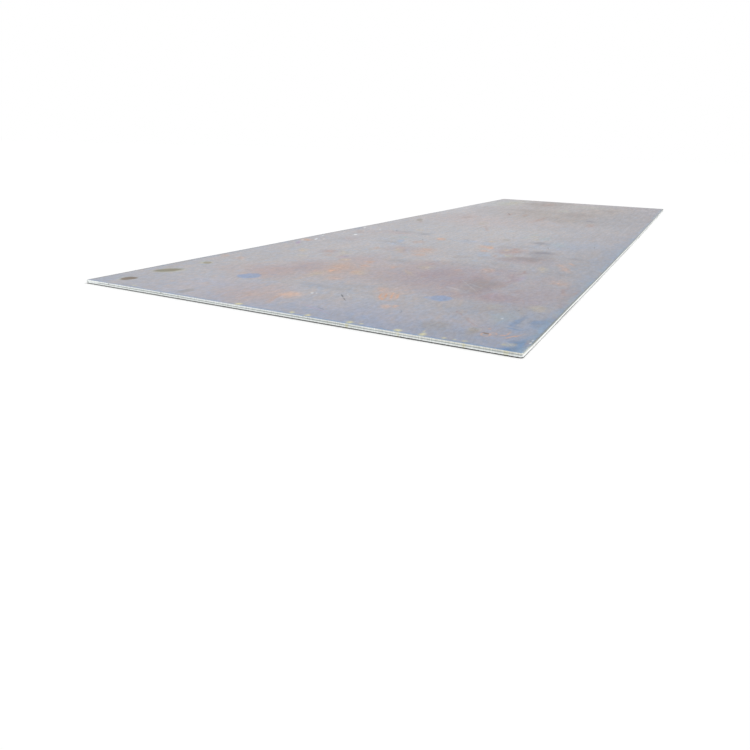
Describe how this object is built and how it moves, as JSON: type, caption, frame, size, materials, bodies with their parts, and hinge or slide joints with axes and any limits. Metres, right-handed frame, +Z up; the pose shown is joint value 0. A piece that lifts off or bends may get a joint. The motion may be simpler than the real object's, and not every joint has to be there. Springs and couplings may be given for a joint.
{
  "type": "steel plate",
  "caption": "Flat rectangular hot-rolled steel plate with sheared edges and ends, lying flat, ready to be stacked, cut or welded.",
  "frame": {"origin": "on the floor under the middle of the plate", "axes": "+Z up through the thickness, +Y along the length, +X across the width; the front end is at -Y"},
  "size_m": [1.808, 6, 0.018],
  "materials": {
    "mill_scale": "blue-grey mill scale with rust bloom, bright sheared edges"
  },
  "bodies": {
    "root": {"plate": "mill_scale"}
  },
  "joints": []
}
